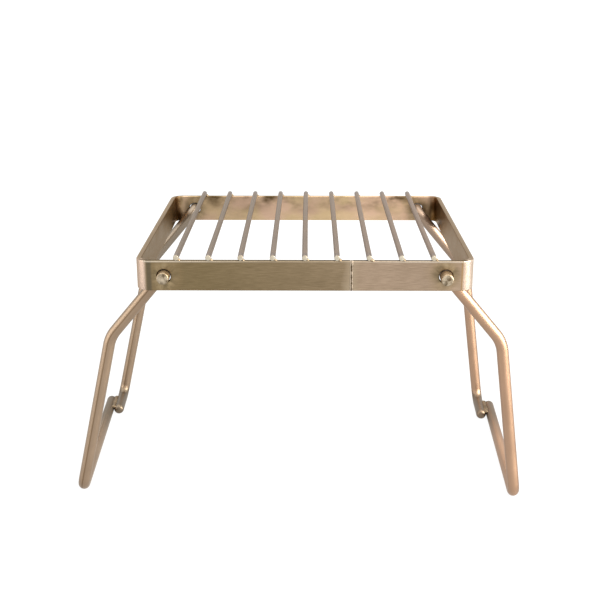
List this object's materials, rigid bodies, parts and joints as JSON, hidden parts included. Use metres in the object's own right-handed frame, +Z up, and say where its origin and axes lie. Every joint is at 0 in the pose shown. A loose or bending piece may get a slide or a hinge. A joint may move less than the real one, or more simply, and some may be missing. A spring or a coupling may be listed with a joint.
{
  "type": "folding pot stand",
  "caption": "Low rectangular grate of parallel wire rods on a flat-bar band, carried on hinged bent-wire legs that fold in under it, for holding a pot over a small burner.",
  "frame": {"origin": "middle of the rectangle the stand covers on the ground, on the ground plane, with the legs open", "axes": "X to the right across the rods and along the stand's length, Y to the back along the rods and the hinge axes, Z up"},
  "size_m": [0.2442, 0.1616, 0.1343],
  "materials": {
    "band_steel": "rolled stainless flat bar, satin, with warm heat tints round the weld, the holes and the rod ends",
    "rod_steel": "drawn stainless wire, satin, blued at its ends by spot welding",
    "leg_steel": "drawn stainless wire, smooth satin with a warm sheen",
    "weld_steel": "bright weld metal, left as welded"
  },
  "bodies": {
    "grate": {"band": "band_steel", "seam_weld": "weld_steel", "rod_1": "rod_steel", "rod_2": "rod_steel", "rod_3": "rod_steel", "rod_4": "rod_steel", "rod_5": "rod_steel", "rod_6": "rod_steel", "rod_7": "rod_steel", "rod_8": "rod_steel", "rod_9": "rod_steel", "front_rod_welds": "weld_steel", "rear_rod_welds": "weld_steel"},
    "left_leg": {"left_front_leg": "leg_steel", "left_rear_leg": "leg_steel", "left_foot_weld": "weld_steel"},
    "right_leg": {"right_front_leg": "leg_steel", "right_rear_leg": "leg_steel", "right_foot_weld": "weld_steel"}
  },
  "joints": [
    {"name": "left_leg_hinge", "type": "hinge", "parent": "grate", "child": "left_leg", "pos_m": [-0.06411, 0, 0.12385], "axis": [0, -1, 0], "range_deg": [0, 99]},
    {"name": "right_leg_hinge", "type": "hinge", "parent": "grate", "child": "right_leg", "pos_m": [0.07209, 0, 0.12385], "axis": [0, 1, 0], "range_deg": [0, 110.1]}
  ]
}
